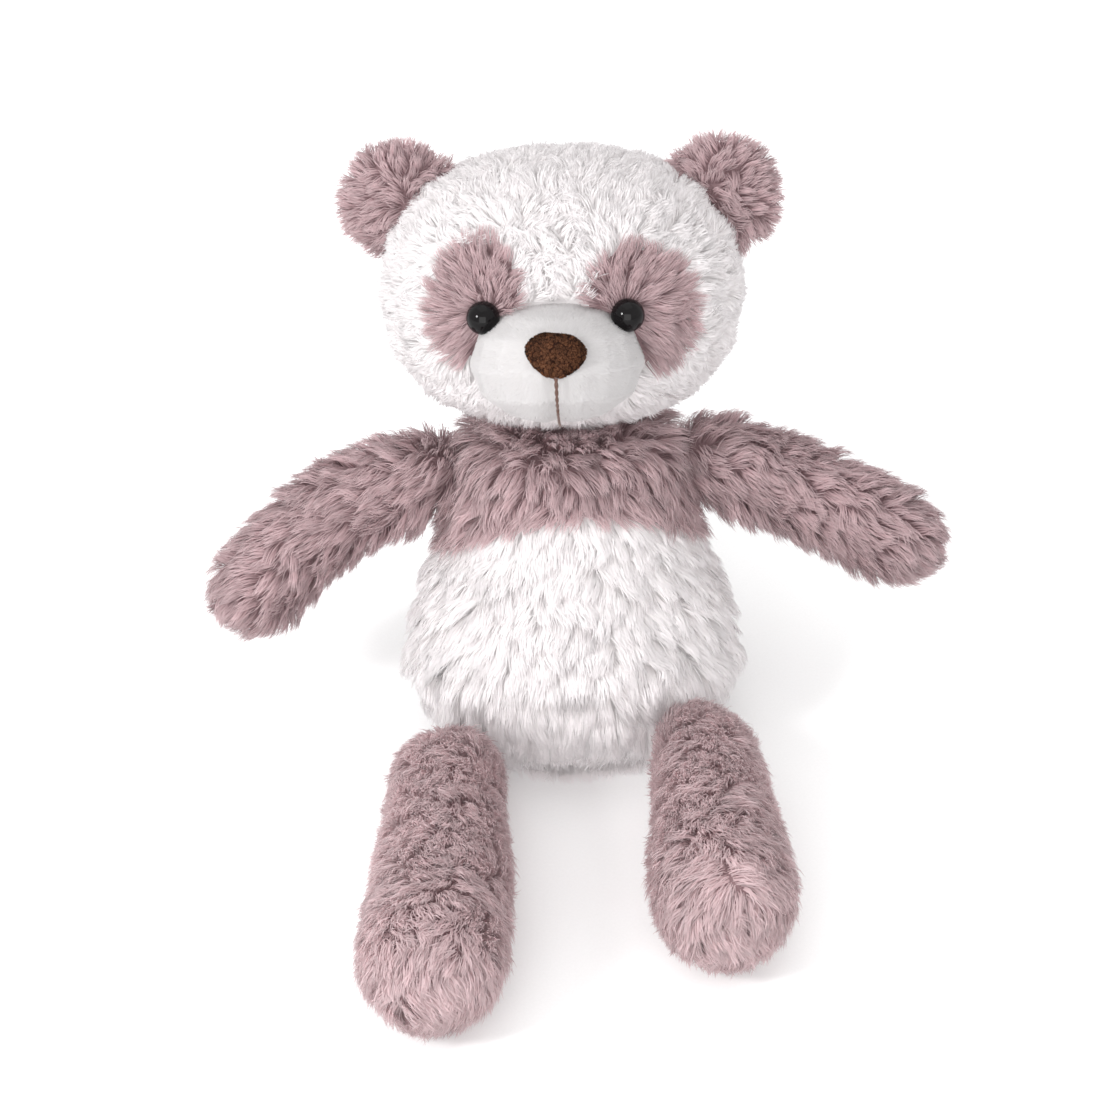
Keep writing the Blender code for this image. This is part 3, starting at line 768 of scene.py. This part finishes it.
def shaped_torso(surface):
    """Swells the lower belly, tucks it in at the floor, draws in the waist and raises the shoulders and neck."""
    points = surface.points.copy()
    ahead = np.clip(-surface.normals[:, 1] + 0.2, 0, 1)
    heights = points[:, 2].copy()
    swell = BELLY_SWELL * fade(heights - BELLY_SWELL_HEIGHT, BELLY_SWELL_REACH)
    points[:, 1] -= (swell - BELLY_TUCK * fade(heights, BELLY_TUCK_REACH)) * ahead
    middle = points[:, 0].mean()
    sideways = np.clip((points[:, 0] - middle) / (45 * MM), -1, 1)
    points[:, 0] -= WAIST * sideways * fade(heights - WAIST_HEIGHT, WAIST_REACH)
    upward = np.clip(surface.normals[:, 2] + 0.6, 0, 1)
    neck = np.array(JOINTS["neck_turn"]["pos_m"])
    for side in SIDES:
        shoulder = np.array(JOINTS[f"arm_raise_{side}"]["pos_m"])
        shoulder += (neck - shoulder) * 0.3
        points[:, 2] += SHOULDER_RISE * fade(np.linalg.norm(points - shoulder, axis=1), SHOULDER_REACH) * upward
    points[:, 2] += NECK_RISE * fade(np.linalg.norm(points - neck, axis=1), NECK_REACH) * upward
    return Surface(points, surface.triangles)


def make_torso():
    nodes = ["chest_front", "chest_back", "belly_front", "belly_back", "seat_panel"]
    surface = even(hull(node_surface(*nodes)), 2.4 * MM, 30).offset(-BACKING_DEPTH)
    surface = shaped_torso(surface)
    neck = np.array(JOINTS["neck_turn"]["pos_m"])
    axis = np.array(JOINTS["neck_turn"]["axis"])
    lush = {f"{joint}_{side}": 0.7 for joint in ("arm_raise", "leg_spread") for side in SIDES}
    lush["neck_turn"] = 0.6

    def down(points):
        outward = points - neck
        outward = unit(outward - (outward @ axis)[:, None] * axis)
        shoulder = np.clip(1 - (neck[2] - points[:, 2]) / (35 * MM), 0, 1)[:, None]
        return -axis - np.array((0, 0, 0.6)) + outward * 1.3 * shoulder

    def boost(points):
        """The pile is longest over the leg roots, round the neck and by the shoulders."""
        found = np.ones(len(points))
        for name, most in lush.items():
            gaps = np.linalg.norm(points - np.array(JOINTS[name]["pos_m"]), axis=1)
            found += most * fade(gaps, 26 * MM)
        return found

    skip = [near(JOINTS["neck_turn"]["pos_m"], 9 * MM)]
    for side in SIDES:
        skip.append(near(JOINTS[f"arm_raise_{side}"]["pos_m"], 8 * MM))
        skip.append(near(JOINTS[f"leg_spread_{side}"]["pos_m"], 9 * MM))
    panels = {name: ("chest", "mauve_fur") if "chest" in name else ("belly", "white_fur") for name in nodes}
    lower = Surface(surface.points - axis * SEAM_RISE, surface.triangles)
    owner = owners_of(lower, nodes)
    furry_part(surface, panels, "torso", {"chest": down, "belly": down}, skip, 100, boost, owner)


def node_middle(*nodes):
    low, high = zip(*(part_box(node) for node in nodes))
    low = Vector(min(corner[i] for corner in low) for i in range(3))
    high = Vector(max(corner[i] for corner in high) for i in range(3))
    return (low + high) / 2


def long_axis(node):
    """The direction in which a turned CAD piece is longest, towards the front, and its front end."""
    points = node_surface(node).points
    middle = (points.max(axis=0) + points.min(axis=0)) / 2
    ways = np.linalg.svd(points - points.mean(axis=0), full_matrices=False)[2]
    way = ways[0] if ways[0][1] < 0 else -ways[0]
    reach = (points - middle) @ way
    centre = points.mean(axis=0)
    return Vector(way), Vector(centre + way * (reach.max() - (centre - middle) @ way))


EYES = {side: long_axis(f"eye_{side}") for side in SIDES}
EYE_CENTRES = {side: tip - way * EYE_RADIUS for side, (way, tip) in EYES.items()}
FACE_SIDE = (EYE_CENTRES["left"] - EYE_CENTRES["right"]).normalized()
FACE_OUT = (EYES["left"][0] + EYES["right"][0]).normalized()
FACE_UP = FACE_OUT.cross(FACE_SIDE).normalized()
if FACE_UP.z < 0:
    FACE_UP = -FACE_UP
NOSE = node_middle("nose")
MUZZLE_HULL = hull(node_surface("muzzle"))


def patched_owners(surface, nodes):
    """Each face's panel, with the eye patches as leaning ovals about the eyes."""
    plain_nodes = [node for node in nodes if "patch" not in node]
    owner = owners_of(surface, plain_nodes)
    ahead = surface.centres @ np.array(FACE_OUT) > np.array(node_middle(*nodes)) @ np.array(FACE_OUT)
    for side in SIDES:
        (across, up), (half_across, half_up) = PATCH_OVALS[side]
        away = surface.centres - np.array(EYE_CENTRES[side])
        u = away @ np.array(FACE_SIDE) / MM - across
        v = away @ np.array(FACE_UP) / MM - up
        lean = PATCH_LEAN if side == "left" else -PATCH_LEAN
        u, v = u * math.cos(lean) + v * math.sin(lean), v * math.cos(lean) - u * math.sin(lean)
        inner = (u / half_across) ** 2 + (v / half_up) ** 2 < 1
        owner[inner & ahead] = nodes.index(f"eye_patch_{side}")
    return owner


def make_head():
    nodes = [f"head_{depth}_{side}" for depth in ("front", "back") for side in SIDES]
    nodes += [f"eye_patch_{side}" for side in SIDES]
    surface = even(hull(node_surface(*nodes)), 2.2 * MM, 24).offset(-BACKING_DEPTH)
    centre = node_middle(*nodes)
    muzzle = node_middle("muzzle")
    eyes = np.array([EYE_CENTRES[side] for side in SIDES])

    def from_face(points):
        ways = unit(points - np.array(muzzle))
        back = np.clip(-(points - np.array(centre)) @ np.array(FACE_OUT) / 0.05, 0, 1)
        gaps = np.linalg.norm(points[:, None] - eyes[None], axis=2)
        parting = 1.5 * fade(gaps.min(axis=1), 26 * MM)[:, None] * unit(from_eye(points))
        return ways + parting + back[:, None] * np.array((0, 0, -1.0))

    def from_eye(points):
        gaps = np.linalg.norm(points[:, None] - eyes[None], axis=2)
        return points - eyes[np.argmin(gaps, axis=1)]

    skip = [near(JOINTS["neck_turn"]["pos_m"], 9 * MM)]
    skip.append(lambda points: inside(points, MUZZLE_HULL, 0.5 * MM))
    skip += [near(eye, 5.5 * MM) for eye in eyes]
    for side in SIDES:
        skip.append(near(JOINTS[f"ear_fold_{side}"]["pos_m"], 8 * MM))
    panels = {}
    for node in nodes:
        panels[node] = ("patch", "mauve_fur") if "patch" in node else ("head", "white_fur")
    flow = {"head": from_face, "patch": from_eye}
    furry_part(surface, panels, "head", flow, skip, 200, owner=patched_owners(surface, nodes))


def make_ears():
    for number, side in enumerate(SIDES):
        nodes = [f"ear_front_{side}", f"ear_back_{side}"]
        surface = even(hull(node_surface(*nodes)), 1.6 * MM, 16).offset(-BACKING_DEPTH + 0.8 * MM)
        owner = owners_of(surface, nodes)
        middle = surface.points.mean(axis=0)
        surface.points = middle + (surface.points - middle) * EAR_GROWTH
        inward = FACE_SIDE if side == "right" else -FACE_SIDE
        surface.points += np.array(inward * EAR_SHIFT.x + FACE_OUT * EAR_SHIFT.y + FACE_UP * EAR_SHIFT.z)
        root = JOINTS[f"ear_fold_{side}"]["pos_m"]
        panels = {name: ("ear", "mauve_fur") for name in nodes}
        skip = [near(root, 3 * MM)]
        flow = {"ear": along_limb(root)}
        furry_part(surface, panels, f"ear_{side}", flow, skip, 300 + 10 * number, owner=owner)


def shaped_arm(surface, root, inward):
    """Thins the arm, and lets its root rise and reach into the chest's pile."""
    gaps = np.linalg.norm(surface.points - root, axis=1)
    surface = surface.offset(-ARM_THINNING)
    surface.points[:, 2] -= ARM_DROP
    surface.points[:, 0] += inward * ARM_ROOT_SINK * fade(gaps, ARM_SINK_REACH)
    surface.points[:, 2] += ARM_ROOT_RISE * fade(gaps, ARM_RISE_REACH)
    return surface


def shaped_leg(surface, root, inward, side):
    """Draws the leg in at mid length, and raises or lowers and widens its root."""
    gaps = np.linalg.norm(surface.points - root, axis=1)
    inner = np.clip(surface.normals[:, 0] * inward, 0, 1) * fade(gaps - LEG_WAIST_PLACE, LEG_WAIST_REACH)
    surface.points[:, 0] -= inward * LEG_WAIST * inner
    surface.points[:, 2] += LEG_ROOT_RISE[side] * fade(gaps, LEG_RISE_REACH)
    outer = np.clip(-surface.normals[:, 0] * inward, 0, 1) * fade(gaps, LEG_FLARE_REACH)
    surface.points[:, 0] -= inward * LEG_ROOT_FLARE[side] * outer
    return surface


def make_limb(limb, side, seed):
    values = LIMBS[limb]
    filling = node_surface(f"{limb}_stuffing_{side}")
    surface = even(filling, 2.4 * MM, 30).offset(STUFFING_DEPTH - BACKING_DEPTH)
    root = np.array(JOINTS[f"{values['joint']}_{side}"]["pos_m"])
    inward = 1 if side == "right" else -1
    if limb == "arm":
        surface = shaped_arm(surface, root, inward)
    else:
        surface = shaped_leg(surface, root, inward, side)

    def boost(points):
        return 1 + values["lush"] * fade(np.linalg.norm(points - root, axis=1), LIMB_LUSH_REACH)

    panels = {f"{limb}_{half}_{side}": (limb, "mauve_fur") for half in values["halves"]}
    source = root - LIMB_SOURCE * unit(surface.points.mean(axis=0) - root)
    flow = {limb: along_limb(source, values["fall"])}
    furry_part(surface, panels, f"{limb}_{side}", flow, [near(root, values["bare"])], seed, boost)


def make_limbs():
    for limb, values in LIMBS.items():
        for index, side in enumerate(SIDES):
            make_limb(limb, side, values["seed"] + 10 * index)


# ---------------------------------------------------------------- face


def make_muzzle():
    """The velour muzzle, with a soft groove under the nose that leaves two lobes."""
    surface = even(MUZZLE_HULL, 1.3 * MM, 12).offset(-1.2 * MM)
    away = surface.points - np.array(NOSE)
    across, up = away @ np.array(FACE_SIDE), away @ np.array(FACE_UP)
    below = np.clip(-up / (6 * MM), 0, 1)
    front = np.clip(surface.normals @ np.array(FACE_OUT) + 0.6, 0, 1)
    depth = 1.8 * MM * fade(across, 3.0 * MM) * below * front
    surface = Surface(surface.points - surface.normals * depth[:, None], surface.triangles)

    def back(points):
        return points - np.array(NOSE)

    furry_part(surface, {"muzzle": ("muzzle", "muzzle_velour")}, "head", {"muzzle": back}, [], 600)


NOSE_HALF = Vector((10.7, 3.4, 7.9)) * MM  # across, out and up
NOSE_SHIFT = (1.0 * MM, -1.6 * MM)
NOSE_ROLL = math.radians(-6)
NOSE_HEIGHTS = (-1.0, -0.95, -0.6, -0.2, 0.0, 0.2, 0.4, 0.6, 0.8, 0.93, 1.0)
NOSE_WIDTHS = (0.0, 0.3, 0.68, 0.9, 0.97, 1.0, 0.96, 0.86, 0.66, 0.42, 0.0)


def make_nose():
    """A rounded triangle of suede, with a dip at its top and a crease that the thread pulls in below."""
    shape = bmesh.new()
    bmesh.ops.create_icosphere(shape, subdivisions=5, radius=1)
    for vertex in shape.verts:
        across, out, up = vertex.co
        ring = max(math.hypot(across, out), 1e-6)
        half = float(np.interp(up, NOSE_HEIGHTS, NOSE_WIDTHS))
        across, out = across / ring * half, out / ring * half**0.5
        up -= 0.06 * math.exp(-((across / 0.28) ** 2)) * max(up, 0)
        crease = math.exp(-((across / 0.07) ** 2)) * min(max(0.2 - up, 0) * 2, 1)
        out *= 1 - 0.3 * crease
        vertex.co = (across * NOSE_HALF.x, out * NOSE_HALF.y, up * NOSE_HALF.z)
    mesh = bpy.data.meshes.new("nose")
    shape.to_mesh(mesh)
    shape.free()
    turn = Matrix((FACE_SIDE, -FACE_OUT, FACE_UP)).transposed() @ Matrix.Rotation(-NOSE_ROLL, 3, "Y")
    middle = NOSE + FACE_SIDE * NOSE_SHIFT[0] + FACE_UP * NOSE_SHIFT[1]
    mesh.transform(Matrix.Translation(middle) @ turn.to_4x4())

    def any_way(points):
        return np.tile(np.array(-FACE_UP), (len(points), 1))

    surface = surface_of(mesh)
    furry_part(surface, {"nose": ("suede", "nose_suede")}, "head", {"suede": any_way}, [], 700)


def make_eyes():
    """A polished dome on a low rim, with its stem behind it in the head."""
    for side in SIDES:
        way, tip = EYES[side]
        turn = Vector((0, 0, 1)).rotation_difference(way).to_matrix().to_4x4()
        shape = bmesh.new()
        bmesh.ops.create_uvsphere(shape, u_segments=64, v_segments=32, radius=EYE_RADIUS)
        stem = Matrix.Translation((0, 0, -8 * MM))
        bmesh.ops.create_cone(
            shape, cap_ends=True, segments=32, radius1=1.6 * MM, radius2=1.6 * MM, depth=13 * MM, matrix=stem
        )
        mesh = bpy.data.meshes.new(f"eye_{side}")
        shape.to_mesh(mesh)
        shape.free()
        mesh.transform(Matrix.Translation(EYE_CENTRES[side]) @ turn)
        mesh.shade_smooth()
        piece = add_object(f"eye_{side}_dome", mesh, MATERIALS["eye_gloss"])
        place(piece, "head", "eye_gloss", [f"eye_{side}"])
        frame["nodes"][f"eye_washer_{side}"].data.materials.clear()
        frame["nodes"][f"eye_washer_{side}"].data.materials.append(MATERIALS["clear_plastic"])


def make_mouth():
    """Two twisted plies of thread from the nose to the chin."""
    points = node_surface("mouth_thread").points
    heights = points @ np.array(FACE_UP)
    edges = np.linspace(heights.min(), heights.max(), 13)
    line = [
        points[(heights >= low) & (heights <= high)].mean(axis=0)
        for low, high in zip(edges, edges[1:])
        if ((heights >= low) & (heights <= high)).any()
    ]
    line = np.array(line)[::-1]
    line = np.vstack([line[0] + (line[0] - line[2]) / np.linalg.norm(line[0] - line[2]) * 4 * MM, line])
    line += np.array(FACE_SIDE) * NOSE_SHIFT[0]
    steps = np.linspace(0, len(line) - 1, 90)
    path = np.stack([np.interp(steps, np.arange(len(line)), line[:, i]) for i in range(3)], axis=1)
    curve = bpy.data.curves.new("thread", "CURVE")
    curve.dimensions = "3D"
    curve.bevel_depth = 0.36 * MM
    curve.bevel_resolution = 3
    curve.use_fill_caps = True
    for ply in (0, math.pi):
        spline = curve.splines.new("POLY")
        spline.points.add(len(path) - 1)
        for index, point in enumerate(spline.points):
            angle = ply + index * 0.45
            around = FACE_SIDE * math.cos(angle) + FACE_OUT * math.sin(angle)
            point.co = (*(Vector(path[index]) + around * 0.3 * MM), 1)
            point.radius = 1.0 + 0.5 * math.exp(-index / 12) - 0.35 * index / len(path)
    piece = add_object("mouth_thread_plies", curve, MATERIALS["thread"])
    place(piece, "head", "thread", ["mouth_thread"])


# ---------------------------------------------------------------- hidden parts


def soft_fill(node, name, body, slot, voxel, lump, fill, inset=0.0):
    """A hidden soft piece: the CAD solid with its facets ironed out and its surface lumpy."""
    surface = even(node_surface(node), voxel, 6).offset(-2 * lump - inset)
    height = lump * swirl(surface.points, 0.006)[:, None]
    points = surface.points + surface.normals * height
    mesh = mesh_of(name, points, [surface.triangles])
    place(add_object(name, mesh, MATERIALS[slot]), body, slot, [node], fill)


def make_hidden_parts():
    soft_fill("torso_stuffing", "torso_filling", "torso", "fibre_fill", 4 * MM, 0.3 * MM, 0.6, 9 * MM)
    soft_fill("weighting_pouch", "weighting_pouch_bag", "torso", "pouch_cloth", 3 * MM, 0.2 * MM, 0.8)
    soft_fill("neck_stuffing", "neck_filling", "neck_base", "fibre_fill", 2 * MM, 0.2 * MM, 0.7)
    soft_fill("neck_seam", "neck_seam_tape", "neck_top", "seam_cloth", 0.8 * MM, 0.05 * MM, 0.3)
    soft_fill("head_stuffing", "head_filling", "head", "fibre_fill", 4 * MM, 0.3 * MM, 0.6, 3 * MM)
    soft_fill("muzzle_stuffing", "muzzle_filling", "head", "fibre_fill", 3 * MM, 0.2 * MM, 0.6)
    for side in SIDES:
        for limb in ("arm", "leg"):
            node = f"{limb}_stuffing_{side}"
            name, inset = f"{limb}_filling_{side}", LIMBS[limb]["inset"]
            soft_fill(node, name, f"{limb}_{side}", "fibre_fill", 3 * MM, 0.3 * MM, 0.6, inset)
            node = f"{limb}_seam_{side}"
            name = f"{limb}_seam_tape_{side}"
            soft_fill(node, name, f"{limb}_root_{side}", "seam_cloth", 0.8 * MM, 0.05 * MM, 0.3)


# ---------------------------------------------------------------- stage


def make_stage():
    camera = bpy.data.objects.new("camera", bpy.data.cameras.new("camera"))
    back = Vector((0, -math.cos(CAMERA_ELEVATION), math.sin(CAMERA_ELEVATION)))
    camera.location = CAMERA_TARGET + back * CAMERA_DISTANCE
    camera.rotation_euler = (-back).to_track_quat("-Z", "Y").to_euler()
    camera.data.lens = CAMERA_LENS
    bpy.context.scene.collection.objects.link(camera)
    bpy.context.scene.camera = camera

    floor = bpy.data.meshes.new("floor")
    shape = bmesh.new()
    bmesh.ops.create_grid(shape, x_segments=8, y_segments=8, size=6)
    shape.to_mesh(floor)
    shape.free()
    material, tree, shader = nodes_of("floor_paper")
    grain = noise_value(tree, 900.0)
    tree.links.new(
        ramp(tree, grain, (0.3, (0.86, 0.86, 0.86)), (0.7, (0.89, 0.89, 0.89))), shader.inputs["Base Color"]
    )
    shader.inputs["Roughness"].default_value = 0.9
    shader.inputs["Specular IOR Level"].default_value = 0.1
    shader.inputs["Emission Color"].default_value = (1, 1, 1, 1)
    shader.inputs["Emission Strength"].default_value = 0.08
    add_object("floor", floor, material)

    for name, place_at, size, power in (
        ("key", (-1.05, -0.85, 0.95), 0.3, 14.0),
        ("front", (-0.1, -1.6, 0.5), 1.4, 16.0),
        ("top", (-0.1, 0.2, 1.8), 1.4, 3.0),
    ):
        light = bpy.data.lights.new(name, "AREA")
        light.size = size
        light.energy = power
        lamp = bpy.data.objects.new(name, light)
        lamp.location = place_at
        lamp.rotation_euler = (Vector((0, 0, 0.1)) - lamp.location).to_track_quat("-Z", "Y").to_euler()
        bpy.context.scene.collection.objects.link(lamp)

    world = bpy.data.worlds.new("studio")
    world.use_nodes = True
    world.node_tree.nodes["Background"].inputs["Color"].default_value = (1, 1, 1, 1)
    world.node_tree.nodes["Background"].inputs["Strength"].default_value = 1.12
    bpy.context.scene.world = world
    bpy.context.scene.view_settings.view_transform = "Standard"


make_stage()
make_torso()
make_head()
make_ears()
make_limbs()
make_muzzle()
make_nose()
make_eyes()
make_mouth()
make_hidden_parts()
